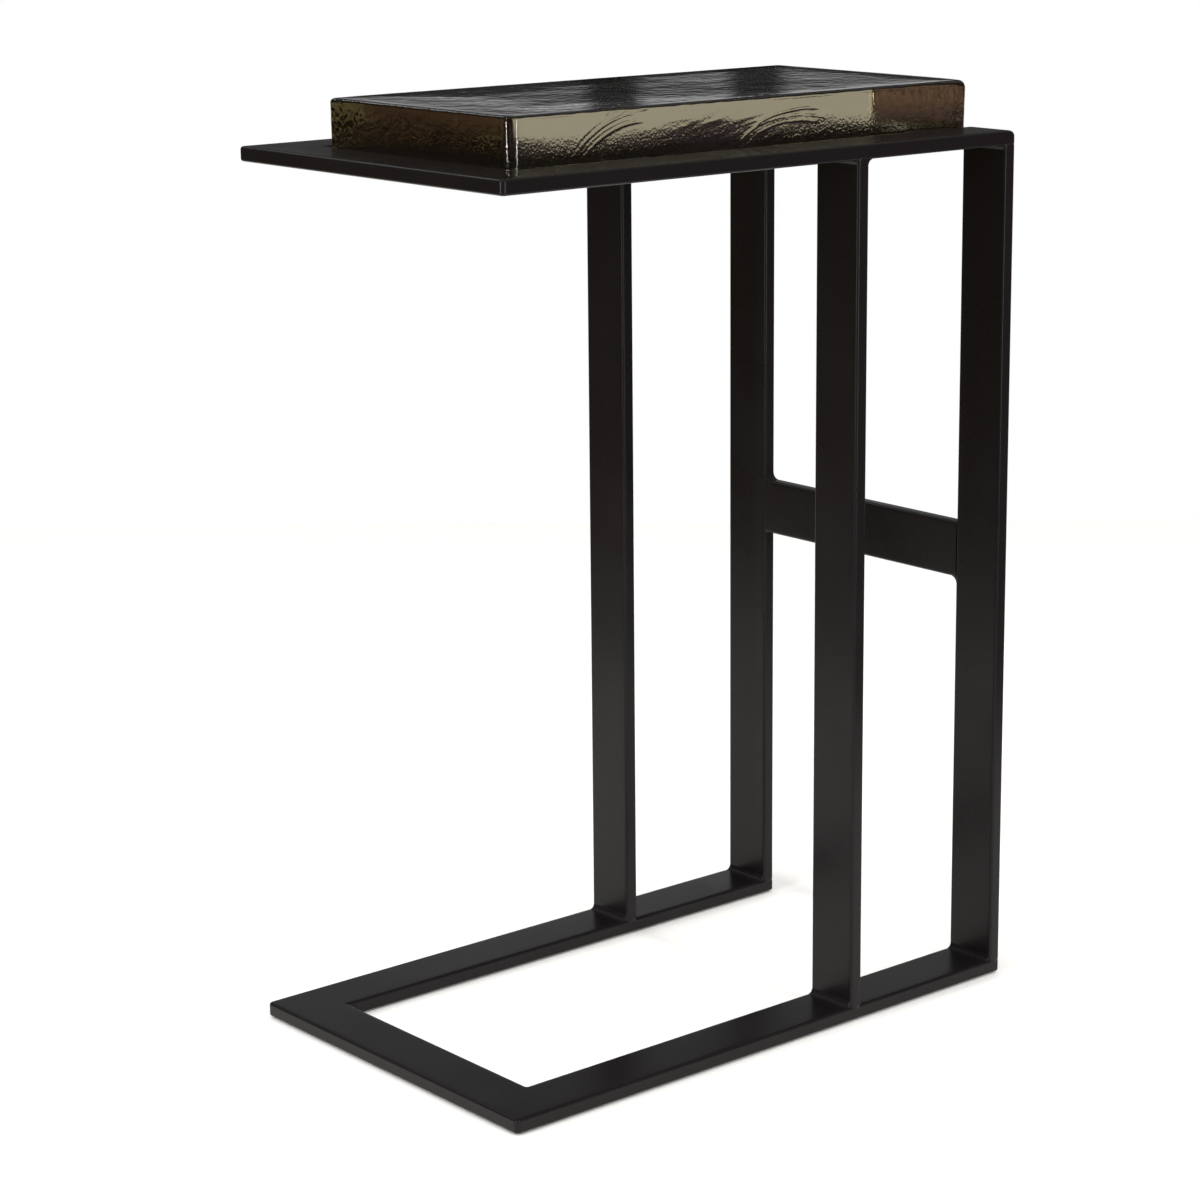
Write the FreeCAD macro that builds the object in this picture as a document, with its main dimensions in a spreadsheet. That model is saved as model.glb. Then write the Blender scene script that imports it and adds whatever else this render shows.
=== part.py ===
import FreeCAD, Part
import Sketcher
import math
import os

# C-shaped side table: a welded flat-bar frame that carries a loose slab of cast glass.
# +X runs from the open front to the rear posts, +Y to the left as seen from the open front, +Z up.
# The origin lies on the floor under the middle of the frame. Lengths are in millimetres.

SIZES = [
    ("frame_depth", 444, "open front to the backs of the rear posts"),
    ("frame_width", 278, "across the frame, side to side"),
    ("frame_height", 605, "floor to the upper faces of the top bars"),
    ("bar_width", 40, "wide side of the flat bar"),
    ("bar_thick", 10, "narrow side of the flat bar"),
    ("bar_edge_radius", 2, "rolled edge of the flat bar"),
    ("corner_round", 1.5, "extra plan radius ground on the front corners, over the rolled edge"),
    ("post_gap", 129, "clear space between a middle post and the rear post behind it"),
    ("crossbar_rise", 4.5, "middle of the rear posts up to the middle of the crossbar"),
    ("foot_weld_leg", 4, "fillet at the front foot of each post"),
    ("head_weld_leg", 3.2, "fillet at the front of each post head"),
    ("head_back_weld_leg", 4.5, "fillet behind the heads of the middle posts"),
    ("crossbar_weld_leg", 5, "full fillets of the crossbar, lower right and upper left"),
    ("crossbar_tack_leg", 1.2, "ground-down fillets of the crossbar, the other two corners"),
    ("mitre_weld_leg", 3, "fillet in the inner corners of the two U frames"),
    ("plate_thick", 2.5, "sheet under the glass"),
    ("plate_rear_inset", 1, "rear ends of the side bars to the rear edge of the sheet"),
    ("plate_weld_leg", 1.5, "stitch welds under the sheet"),
    ("plate_weld_length", 30, "one stitch weld"),
    ("bumper_thick", 1.6, "silicone button under the glass"),
    ("bumper_dia", 12, "silicone button across its base"),
    ("bumper_inset", 24, "edge of the slab's underside to a button's centre"),
    ("pad_thick", 1.2, "felt pad under the base"),
    ("pad_dia", 22, "felt pad across"),
    ("glass_proud", 31.5, "slab above the upper faces of the top bars"),
    ("glass_front_gap", 0.5, "front bar to the slab's upper rim"),
    ("glass_side_gap", 3, "side bars to the slab's upper rim"),
    ("glass_rear_inset", 1, "rear ends of the side bars to the slab's upper rim"),
    ("glass_draft", 1.2, "narrowing of the slab from rim to underside, per side"),
    ("glass_top_radius", 4.5, "rounding of the slab's upper rim"),
    ("glass_corner_round", 1.5, "extra radius of the slab's upright corners, over the rim's rounding"),
    ("glass_foot_radius", 1.5, "rounding of the slab's lower rim"),
    ("fit_gap", 0.3, "clearance of the sheet's clipped corners from the mitre welds"),
    ("overrun", 1, "how far each cut runs past the face it opens"),
]

# Shares: a mitre meets a corner arc half way round it, the rear ends are eased by half the rolled
# edge, a weld's hollow is centred a little outside its legs, and a button narrows towards its top.
MITRE_SHARE = 1 - math.sqrt(1 / 2)
END_EASE_SHARE = 0.5
HOLLOW_SHARE = 1.15
REAR_BEAD_SHARE = 0.6
BUTTON_TOP_SHARE = 0.8
STITCH_PLACE_SHARES = (0.15, 0.5, 0.85)
SAME = 1e-6

doc = FreeCAD.newDocument("c_side_table")
sheet = doc.addObject("Spreadsheet::Sheet", "sizes")
for row, (alias, value, note) in enumerate(SIZES, start=1):
    sheet.set(f"A{row}", alias)
    sheet.set(f"B{row}", str(value))
    sheet.set(f"C{row}", note)
    sheet.setAlias(f"B{row}", alias)
doc.recompute()

# Places worked out from the driving sizes, as expressions.
DEPTH = "sizes.frame_depth"
WIDTH = "sizes.frame_width"
BAR = "sizes.bar_width"
THICK = "sizes.bar_thick"
EDGE = "sizes.bar_edge_radius"
CORNER = "(sizes.bar_edge_radius + sizes.corner_round)"
MITRE_TIP = f"({CORNER} * {MITRE_SHARE})"
FRONT = f"(-{DEPTH} / 2)"
REAR = f"({DEPTH} / 2)"
RIGHT = f"(-{WIDTH} / 2)"
LEFT = f"({WIDTH} / 2)"
BASE_FOOT = "sizes.pad_thick"
BASE_TOP = f"({BASE_FOOT} + {THICK})"
TOP_FACE = "sizes.frame_height"
TOP_UNDER = f"({TOP_FACE} - {THICK})"
POST_LENGTH = f"({TOP_UNDER} - {BASE_TOP})"
REAR_POST = f"({REAR} - {THICK})"
MIDDLE_POST = f"({REAR_POST} - sizes.post_gap - {THICK})"
POST_PLACES = {"middle": MIDDLE_POST, "rear": REAR_POST}
CROSSBAR_TOP = f"(({BASE_TOP} + {TOP_UNDER} + {BAR}) / 2 + sizes.crossbar_rise)"
CROSSBAR_FOOT = f"({CROSSBAR_TOP} - {BAR})"
PLATE_TOP = f"({TOP_FACE} - {THICK} / 2 + sizes.plate_thick / 2)"
PLATE_UNDER = f"({PLATE_TOP} - sizes.plate_thick)"
SLAB_FOOT = f"({PLATE_TOP} + sizes.bumper_thick)"
SLAB_TOP = f"({TOP_FACE} + sizes.glass_proud)"
SLAB_FRONT = f"({FRONT} + {BAR} + sizes.glass_front_gap)"
SLAB_REAR = f"({REAR} - sizes.glass_rear_inset)"
SLAB_RIGHT = f"({RIGHT} + {BAR} + sizes.glass_side_gap)"
SLAB_LEFT = f"({LEFT} - {BAR} - sizes.glass_side_gap)"

# Each side of the frame: its outer face, its inner face and the way from the outer to the inner.
SIDES = {
    "left": (LEFT, f"({LEFT} - {BAR})", -1),
    "right": (RIGHT, f"({RIGHT} + {BAR})", 1),
}

nodes = {}


def number(expression):
    """Value of an expression at the present sizes."""
    return float(sheet.evalExpression(expression))


def bind(thing, **bindings):
    """Tie properties of an object to expressions."""
    for name, expression in bindings.items():
        thing.setExpression(name, expression)


def place(thing, along=None, across=None, up=None):
    """Tie the corner of an object to expressions for X, Y and Z."""
    for letter, expression in (("x", along), ("y", across), ("z", up)):
        if expression is not None:
            thing.setExpression(f"Placement.Base.{letter}", expression)


def add_body(label):
    """New sub-part that is made of sketches and features."""
    body = doc.addObject("PartDesign::Body", label)
    body.Label = label
    nodes[label] = body
    return body


def outline(body, name, corners):
    """Closed sketch in plan, anticlockwise.

    Each corner is (x, y) where a straight side starts, or (x, y, (centre x, centre y, radius)) where
    an arc starts. All of them are expressions, measured from the body's own corner.
    """
    plane = [part for part in body.Origin.OriginFeatures if part.Role == "XY_Plane"][0]
    sketch = body.newObject("Sketcher::SketchObject", name)
    sketch.AttachmentSupport = (plane, "")
    sketch.MapMode = "FlatFace"
    points = [FreeCAD.Vector(number(corner[0]), number(corner[1])) for corner in corners]
    for side, corner in enumerate(corners):
        start = points[side]
        end = points[(side + 1) % len(points)]
        if len(corner) == 2:
            sketch.addGeometry(Part.LineSegment(start, end))
            continue
        centre = FreeCAD.Vector(number(corner[2][0]), number(corner[2][1]))
        circle = Part.Circle(centre, FreeCAD.Vector(0, 0, 1), number(corner[2][2]))
        angles = [math.atan2(point.y - centre.y, point.x - centre.x) for point in (start, end)]
        sketch.addGeometry(Part.ArcOfCircle(circle, *angles))
    for side, corner in enumerate(corners):
        following = (side + 1) % len(corners)
        sketch.addConstraint(Sketcher.Constraint("Coincident", side, 2, following, 1))
        ties = [("DistanceX", f"along_{side}", corner[0], (-1, 1, side, 1))]
        ties.append(("DistanceY", f"across_{side}", corner[1], (-1, 1, side, 1)))
        if len(corner) > 2:
            ties.append(("Radius", f"round_{side}", corner[2][2], (side,)))
        for kind, tie, expression, what in ties:
            index = sketch.addConstraint(Sketcher.Constraint(kind, *what, number(expression)))
            sketch.renameConstraint(index, tie)
            sketch.setExpression(f"Constraints.{tie}", expression)
    return sketch


def pad(body, sketch, length):
    """Solid of an outline, raised to a length."""
    solid = body.newObject("PartDesign::Pad", f"{body.Name}_pad")
    solid.Profile = sketch
    sketch.Visibility = False
    bind(solid, Length=length)
    doc.recompute()
    return solid


def round_edges(body, base, name, radius, wanted):
    """Fillet on the edges that the test picks."""
    fillet = body.newObject("PartDesign::Fillet", f"{body.Name}_{name}")
    picked = [f"Edge{index}" for index, edge in enumerate(base.Shape.Edges, start=1) if wanted(edge)]
    fillet.Base = (base, picked)
    bind(fillet, Radius=radius)
    doc.recompute()
    return fillet


def is_level(edge):
    """True for an edge that keeps one height."""
    return edge.BoundBox.ZLength < SAME


def runs_with(edge, letter):
    """True for an arc, or for a straight edge along the axis of that letter."""
    if not isinstance(edge.Curve, Part.Line):
        return True
    lengths = {"x": edge.BoundBox.XLength, "y": edge.BoundBox.YLength}
    return abs(lengths[letter] - edge.Length) < SAME


def front_bar(label, up):
    """Flat bar across the open front, mitred at both ends, with ground outer corners."""
    body = add_body(label)
    far = f"({WIDTH} - {CORNER})"
    corners = [
        (BAR, BAR),
        (BAR, f"({WIDTH} - {BAR})"),
        (MITRE_TIP, f"({WIDTH} - {MITRE_TIP})", (CORNER, far, CORNER)),
        ("0", far),
        ("0", CORNER, (CORNER, CORNER, CORNER)),
        (MITRE_TIP, MITRE_TIP),
    ]
    flat = pad(body, outline(body, f"{label}_plan", corners), THICK)
    round_edges(body, flat, "edges", EDGE, lambda edge: is_level(edge) and runs_with(edge, "y"))
    place(body, FRONT, RIGHT, up)


def side_bar(label, side, up):
    """Flat bar from front to back, mitred at the front and eased at its rear end."""
    body = add_body(label)
    right_corners = [
        (BAR, BAR),
        (MITRE_TIP, MITRE_TIP, (CORNER, CORNER, CORNER)),
        (CORNER, "0"),
        (DEPTH, "0"),
        (DEPTH, BAR),
    ]
    left_corners = [
        (BAR, f"({WIDTH} - {BAR})"),
        (DEPTH, f"({WIDTH} - {BAR})"),
        (DEPTH, WIDTH),
        (CORNER, WIDTH, (CORNER, f"({WIDTH} - {CORNER})", CORNER)),
        (MITRE_TIP, f"({WIDTH} - {MITRE_TIP})"),
    ]
    corners = right_corners if side == "right" else left_corners
    flat = pad(body, outline(body, f"{label}_plan", corners), THICK)
    long_edges = round_edges(body, flat, "edges", EDGE, lambda edge: is_level(edge) and runs_with(edge, "x"))
    rear = number(DEPTH) - SAME
    ease = f"{EDGE} * {END_EASE_SHARE}"
    round_edges(body, long_edges, "rear_end", ease, lambda edge: edge.BoundBox.XMin > rear)
    place(body, FRONT, RIGHT, up)


def cut_length(label, length):
    """Straight length of flat bar, standing on end, with its rolled edges."""
    body = add_body(label)
    far_x = f"({THICK} - {EDGE})"
    far_y = f"({BAR} - {EDGE})"
    corners = [
        (EDGE, "0"),
        (far_x, "0", (far_x, EDGE, EDGE)),
        (THICK, EDGE),
        (THICK, far_y, (far_x, far_y, EDGE)),
        (far_x, BAR),
        (EDGE, BAR, (EDGE, far_y, EDGE)),
        ("0", far_y),
        ("0", EDGE, (EDGE, EDGE, EDGE)),
    ]
    pad(body, outline(body, f"{label}_section", corners), length)
    return body


def bead(name, axis, start, length, corner, toward, leg, hollow_share=HOLLOW_SHARE):
    """Hollow fillet along one axis, in the corner of two square faces.

    corner and toward go by the letters of the other two axes: where the faces meet, and on which side
    of that the weld metal lies.
    """
    size_names = {"x": "Length", "y": "Width", "z": "Height"}
    turns = {
        "x": FreeCAD.Rotation(FreeCAD.Vector(0, 1, 0), 90),
        "y": FreeCAD.Rotation(FreeCAD.Vector(1, 0, 0), -90),
        "z": FreeCAD.Rotation(),
    }
    block = doc.addObject("Part::Box", f"{name}_block")
    hollow = doc.addObject("Part::Cylinder", f"{name}_hollow")
    hollow.Placement = FreeCAD.Placement(FreeCAD.Vector(), turns[axis])
    radius_share = math.hypot(hollow_share, hollow_share - 1)
    bind(hollow, Radius=f"{leg} * {radius_share}", Height=f"{length} + 2 * sizes.overrun")
    bind(block, **{size_names[axis]: length})
    bind(block, **{f"Placement.Base.{axis}": start})
    bind(hollow, **{f"Placement.Base.{axis}": f"{start} - sizes.overrun"})
    for letter, meeting in corner.items():
        low = meeting if toward[letter] > 0 else f"{meeting} - {leg}"
        bind(block, **{size_names[letter]: leg, f"Placement.Base.{letter}": low})
        centre = f"{meeting} + {leg} * {hollow_share * toward[letter]}"
        bind(hollow, **{f"Placement.Base.{letter}": centre})
    weld = doc.addObject("Part::Cut", name)
    weld.Base = block
    weld.Tool = hollow
    return weld


def group(label, pieces):
    """Like pieces that share one sub-part, each a solid of its own."""
    together = doc.addObject("Part::Compound", label)
    together.Label = label
    together.Links = pieces
    nodes[label] = together


def make_bars():
    """The two U frames, base and top."""
    for level, up in (("base", BASE_FOOT), ("top", TOP_UNDER)):
        front_bar(f"{level}_front_bar", up)
        for side in SIDES:
            side_bar(f"{level}_{side}_bar", side, up)


def make_posts():
    """Four posts on the side bars, and the crossbar between the rear two."""
    for row, along in POST_PLACES.items():
        for side, (outer, inner, _) in SIDES.items():
            post = cut_length(f"{side}_{row}_post", POST_LENGTH)
            place(post, along, outer if side == "right" else inner, BASE_TOP)
    crossbar = cut_length("rear_crossbar", f"{WIDTH} - 2 * {BAR}")
    crossbar.Placement = FreeCAD.Placement(FreeCAD.Vector(), FreeCAD.Rotation(FreeCAD.Vector(1, 0, 0), -90))
    place(crossbar, REAR_POST, SIDES["right"][1], CROSSBAR_TOP)


def make_post_welds():
    """Fillets at the feet and heads of the posts, and the ground seams on their narrow sides."""
    feet = []
    heads = []
    seams = []
    flat_width = f"({BAR} - 2 * {EDGE})"
    flat_thick = f"({THICK} - 2 * {EDGE})"
    for row, along in POST_PLACES.items():
        for side, (outer, inner, inward) in SIDES.items():
            name = f"{side}_{row}"
            low = f"({outer if side == 'right' else inner} + {EDGE})"
            front_foot = {"x": along, "z": BASE_TOP}
            front_head = {"x": along, "z": TOP_UNDER}
            feet.append(bead(f"{name}_foot", "y", low, flat_width, front_foot, {"x": -1, "z": 1},
                             "sizes.foot_weld_leg"))
            length = flat_width if row == "middle" else f"({flat_width} * {REAR_BEAD_SHARE})"
            start = low if side == "right" else f"({LEFT} - {EDGE} - {length})"
            heads.append(bead(f"{name}_head", "y", start, length, front_head, {"x": -1, "z": -1},
                              "sizes.head_weld_leg"))
            if row == "middle":
                back_head = {"x": f"({along} + {THICK})", "z": TOP_UNDER}
                heads.append(bead(f"{name}_head_back", "y", low, flat_width, back_head, {"x": 1, "z": -1},
                                  "sizes.head_back_weld_leg"))
            for end, height, upward in (("foot", BASE_TOP, -1), ("head", TOP_UNDER, 1)):
                for face, across, way in (("outer", outer, inward), ("inner", inner, -inward)):
                    seams.append(bead(f"{name}_{end}_{face}_seam", "x", f"({along} + {EDGE})", flat_thick,
                                      {"y": across, "z": height}, {"y": way, "z": upward}, EDGE,
                                      hollow_share=1))
    group("post_foot_welds", feet)
    group("post_head_welds", heads)
    group("flush_seam_welds", seams)


def make_crossbar_welds():
    """Fillets above and below both ends of the crossbar."""
    welds = []
    start = f"({REAR_POST} + {EDGE})"
    length = f"({THICK} - 2 * {EDGE})"
    for side, (_, inner, inward) in SIDES.items():
        for face, height, upward in (("upper", CROSSBAR_TOP, 1), ("lower", CROSSBAR_FOOT, -1)):
            full = (side, face) in (("right", "lower"), ("left", "upper"))
            leg = "sizes.crossbar_weld_leg" if full else "sizes.crossbar_tack_leg"
            welds.append(bead(f"crossbar_{side}_{face}", "x", start, length, {"y": inner, "z": height},
                              {"y": inward, "z": upward}, leg))
    group("crossbar_welds", welds)


def make_mitre_welds():
    """Fillets in the inner front corners of both U frames."""
    length = f"({THICK} - 2 * {EDGE})"
    for level, up in (("base", BASE_FOOT), ("top", TOP_UNDER)):
        welds = []
        for side, (_, inner, inward) in SIDES.items():
            welds.append(bead(f"{level}_{side}_mitre", "z", f"({up} + {EDGE})", length,
                              {"x": f"({FRONT} + {BAR})", "y": inner}, {"x": 1, "y": inward},
                              "sizes.mitre_weld_leg"))
        group(f"{level}_mitre_welds", welds)


def make_support_plate():
    """Sheet inside the top U, clipped round the mitre welds, with stitch welds under three edges."""
    body = add_body("glass_support_plate")
    clip = "(sizes.mitre_weld_leg + sizes.fit_gap)"
    length = f"({DEPTH} - {BAR} - sizes.plate_rear_inset)"
    width = f"({WIDTH} - 2 * {BAR})"
    corners = [
        (clip, "0"),
        (length, "0"),
        (length, width),
        (clip, width),
        ("0", f"({width} - {clip})"),
        ("0", clip),
    ]
    pad(body, outline(body, "glass_support_plate_plan", corners), "sizes.plate_thick")
    place(body, f"{FRONT} + {BAR}", f"{RIGHT} + {BAR}", PLATE_UNDER)
    stitches = []
    half_stitch = "sizes.plate_weld_length / 2"
    for turn, share in enumerate(STITCH_PLACE_SHARES):
        for side, (_, inner, inward) in SIDES.items():
            start = f"({FRONT} + {BAR} + {length} * {share} - {half_stitch})"
            stitches.append(bead(f"{side}_stitch_{turn}", "x", start, "sizes.plate_weld_length",
                                 {"y": inner, "z": PLATE_UNDER}, {"y": inward, "z": -1},
                                 "sizes.plate_weld_leg"))
    stitches.append(bead("front_stitch", "y", f"(-{half_stitch})", "sizes.plate_weld_length",
                         {"x": f"({FRONT} + {BAR})", "z": PLATE_UNDER}, {"x": 1, "z": -1},
                         "sizes.plate_weld_leg"))
    group("plate_welds", stitches)


def make_glass():
    """Cast slab, wider at its rim than at its underside, on silicone buttons."""
    body = add_body("glass_slab")
    length = f"({SLAB_REAR} - {SLAB_FRONT})"
    width = f"({SLAB_LEFT} - {SLAB_RIGHT})"
    height = f"({SLAB_TOP} - {SLAB_FOOT})"
    draft = "sizes.glass_draft"
    far_x = f"({length} - {draft})"
    far_y = f"({width} - {draft})"
    foot = outline(body, "slab_foot", [(draft, draft), (far_x, draft), (far_x, far_y), (draft, far_y)])
    slab = pad(body, foot, height)
    bind(slab, TaperAngle=f"atan({draft} / {height})")
    doc.recompute()
    corner = "(sizes.glass_top_radius + sizes.glass_corner_round)"
    upright = round_edges(body, slab, "corners", corner, lambda edge: not is_level(edge))
    above = number(height) - SAME
    rounded = round_edges(body, upright, "rim", "sizes.glass_top_radius",
                          lambda edge: edge.BoundBox.ZMin > above)
    round_edges(body, rounded, "foot", "sizes.glass_foot_radius", lambda edge: edge.BoundBox.ZMax < SAME)
    place(body, SLAB_FRONT, SLAB_RIGHT, SLAB_FOOT)

    inset = "(sizes.bumper_inset + sizes.glass_draft)"
    front = f"({SLAB_FRONT} + {inset})"
    rear = f"({SLAB_REAR} - {inset})"
    buttons = []
    for row, along in (("front", front), ("middle", f"(({front} + {rear}) / 2)"), ("rear", rear)):
        for side, across in (("left", f"({SLAB_LEFT} - {inset})"), ("right", f"({SLAB_RIGHT} + {inset})")):
            button = doc.addObject("Part::Cone", f"{row}_{side}_button")
            foot_radius = "sizes.bumper_dia / 2"
            bind(button, Radius1=foot_radius, Radius2=f"{foot_radius} * {BUTTON_TOP_SHARE}")
            bind(button, Height="sizes.bumper_thick")
            place(button, along, across, PLATE_TOP)
            buttons.append(button)
    group("glass_bumpers", buttons)


def make_floor_pads():
    """Felt pads under the front corners and under the posts."""
    half_bar = f"{BAR} / 2"
    places = {
        "front": f"({FRONT} + {half_bar})",
        "middle": f"({MIDDLE_POST} + {THICK} / 2)",
        "rear": f"({REAR} - {half_bar})",
    }
    pads = []
    for row, along in places.items():
        for side, (_, inner, inward) in SIDES.items():
            felt = doc.addObject("Part::Cylinder", f"{row}_{side}_pad")
            bind(felt, Radius="sizes.pad_dia / 2", Height="sizes.pad_thick")
            place(felt, along, f"{inner} - {half_bar} * {inward}", "0")
            pads.append(felt)
    group("floor_pads", pads)


make_bars()
make_posts()
make_post_welds()
make_crossbar_welds()
make_mitre_welds()
make_support_plate()
make_glass()
make_floor_pads()
doc.recompute()

for thing in doc.Objects:
    if "Invalid" in thing.State or "Error" in thing.State:
        raise RuntimeError(f"{thing.Name} failed: {thing.State}")
for label, node in nodes.items():
    if node.Shape.isNull() or not node.Shape.isValid():
        raise RuntimeError(f"{label} has no sound shape")

os.makedirs("parts", exist_ok=True)
for label, node in nodes.items():
    node.Shape.exportStep(f"parts/{label}.step")
    print(label, len(node.Shape.Solids), "solids", round(node.Shape.Volume), "cubic millimetres")
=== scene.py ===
"""C-shaped side table: a welded flat-bar frame in black powder coat under a loose slab of cast bronze glass.

Laid out as an add-on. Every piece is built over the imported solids, in metres and in their frame, and rides on
their bodies. Meshes are worked out in millimetres; settings, lamps and camera are in metres.
"""
import math
from functools import partial

import bmesh
import bpy
import numpy as np
from mathutils import Matrix, Vector, noise


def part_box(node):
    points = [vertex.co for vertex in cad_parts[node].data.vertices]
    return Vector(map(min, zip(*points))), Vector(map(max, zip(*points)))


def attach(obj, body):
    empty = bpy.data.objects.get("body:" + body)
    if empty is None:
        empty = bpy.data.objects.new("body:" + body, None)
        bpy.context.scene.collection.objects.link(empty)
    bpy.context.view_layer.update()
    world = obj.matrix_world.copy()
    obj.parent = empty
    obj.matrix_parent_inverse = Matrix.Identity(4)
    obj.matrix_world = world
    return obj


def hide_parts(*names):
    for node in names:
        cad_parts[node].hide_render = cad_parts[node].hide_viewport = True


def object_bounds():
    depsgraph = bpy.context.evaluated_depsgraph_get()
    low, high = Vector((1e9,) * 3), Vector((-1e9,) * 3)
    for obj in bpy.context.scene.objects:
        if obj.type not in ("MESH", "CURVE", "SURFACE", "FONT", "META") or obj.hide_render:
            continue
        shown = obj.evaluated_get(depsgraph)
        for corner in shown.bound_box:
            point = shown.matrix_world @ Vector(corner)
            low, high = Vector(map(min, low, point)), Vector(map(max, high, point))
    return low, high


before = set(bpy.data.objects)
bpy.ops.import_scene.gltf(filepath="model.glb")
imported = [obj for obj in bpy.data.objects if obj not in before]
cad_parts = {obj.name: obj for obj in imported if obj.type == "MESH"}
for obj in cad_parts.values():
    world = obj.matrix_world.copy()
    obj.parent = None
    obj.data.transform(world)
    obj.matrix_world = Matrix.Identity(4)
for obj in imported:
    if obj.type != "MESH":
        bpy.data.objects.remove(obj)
CAD_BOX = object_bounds()
MM = 0.001

bl_info = {
    "name": "C-shaped side table",
    "version": (1, 0, 0),
    "blender": (4, 5, 0),
    "location": "View3D > Sidebar > Side Table",
    "description": "Builds a welded flat-bar side table with a cast glass top, and a studio to show it in",
    "category": "Object",
}


def linear(hex_colour):
    """Linear red, green, blue and alpha of an sRGB hex colour."""
    parts = [int(hex_colour[start:start + 2], 16) / 255 for start in (1, 3, 5)]
    return (*[part / 12.92 if part <= 0.04045 else ((part + 0.055) / 1.055) ** 2.4 for part in parts], 1.0)


def node_box(node):
    """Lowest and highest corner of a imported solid, in millimetres."""
    low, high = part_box(node)
    return np.array(low) / MM, np.array(high) / MM


BASE_LOW, BASE_HIGH = node_box("base_front_bar")
SLAB_LOW, SLAB_HIGH = node_box("glass_slab")
PLATE_LOW, PLATE_HIGH = node_box("glass_support_plate")
FRONT, REAR = CAD_BOX[0][0] / MM, CAD_BOX[1][0] / MM
OUTSIDE = CAD_BOX[1][1] / MM
SIDE_WAYS = {"left": 1, "right": -1}
# Edges of a weld that are sharper than this angle stay sharp, in degrees.
WELD_SHARP = 60


def setting(name, description, default, **kind):
    """Setting for one number, with its unit or subtype."""
    return bpy.props.FloatProperty(name=name, description=description, default=default, **kind)


def measure(name, description, default):
    """Setting for a length: its default is given in millimetres and kept in metres."""
    return setting(name, description, default * MM, unit="LENGTH")


def shade(name, description, hex_colour):
    """Setting for a colour."""
    return bpy.props.FloatVectorProperty(
        name=name, description=description, default=linear(hex_colour)[:3], subtype="COLOR")


class FrameSettings(bpy.types.PropertyGroup):
    """Sizes and finish of the welded frame."""

    bar_width: measure("Bar width", "Wide side of the flat bar", 40)
    edge_radius: measure("Edge radius", "Rolled edge of the flat bar", 2)
    corner_radius: measure("Corner radius", "Front corners of both U frames, in plan", 3.5)
    end_ease: measure("End ease", "Rounding of the sawn rear ends, in plan", 2)
    end_crown: measure("End crown", "Rounding ground on the upper rear edges of the top bars", 5)
    foot_leg: measure("Foot weld", "Leg of the fillets at the post feet", 4)
    head_leg: measure("Head weld", "Leg of the fillets at the post heads", 3.2)
    head_back_leg: measure("Back head weld", "Leg of the fillets behind the middle posts", 4.5)
    crossbar_leg: measure("Crossbar weld", "Leg of the full fillets of the crossbar", 5)
    tack_leg: measure("Ground weld", "Leg of the ground-down fillets of the crossbar", 1.2)
    mitre_leg: measure("Mitre weld", "Leg of the fillets in the inner front corners", 3)
    stitch_length: measure("Stitch length", "One stitch weld under the sheet", 30)
    stitch_leg: measure("Stitch weld", "Leg of the stitch welds under the sheet", 1.5)
    ripple_pitch: measure("Weld ripple pitch", "Spacing of the ripples along a weld", 2.6)
    ripple_share: setting("Weld ripple", "Height of the ripples as a share of the leg", 0.05,
                          subtype="FACTOR", min=0, max=1)
    coat_dark: shade("Coat", "Black of the powder coat", "#121010")
    # Paler coat for the rolled edges: partly rubbed wear, partly a painted highlight of the light the edges
    # catch.
    coat_edge_wear_and_highlight: shade("Rubbed coat", "Coat where edges are rubbed", "#211e1e")
    coat_roughness: setting("Coat roughness", "Satin gloss of the powder coat", 0.28,
                            subtype="FACTOR", min=0, max=1)


class GlassSettings(bpy.types.PropertyGroup):
    """Shape and colour of the cast slab."""

    rim_radius: measure("Rim radius", "Fire-polished upper rim", 1.5)
    rim_slump: measure("Rim slump", "Extra rounding towards the rear right corner", 0.6)
    foot_radius: measure("Foot radius", "Rounding of the lower rim", 1.5)
    corner_radius: measure("Corner radius", "Upright corners, in plan", 8)
    draft: measure("Draft", "Narrowing from rim to underside, per side", 1.2)
    dish: measure("Dish", "How far the front of the top sank in casting", 1.7)
    ripple: measure("Ripple", "Height of the flow ripples on the top", 0.2)
    pebble: measure("Pebble", "Height of the mould's pebbling on the sides", 0.024)
    chill: measure("Chill marks", "Height of the curved chill marks on the sides", 0.28)
    absorption: shade("Absorption colour", "Tint of light inside the glass", "#b6a845")
    density: setting("Absorption density", "Strength of the tint, per metre", 6.0, subtype="UNSIGNED")
    ior: setting("IOR", "Refraction of the glass", 1.6, subtype="UNSIGNED")


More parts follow.
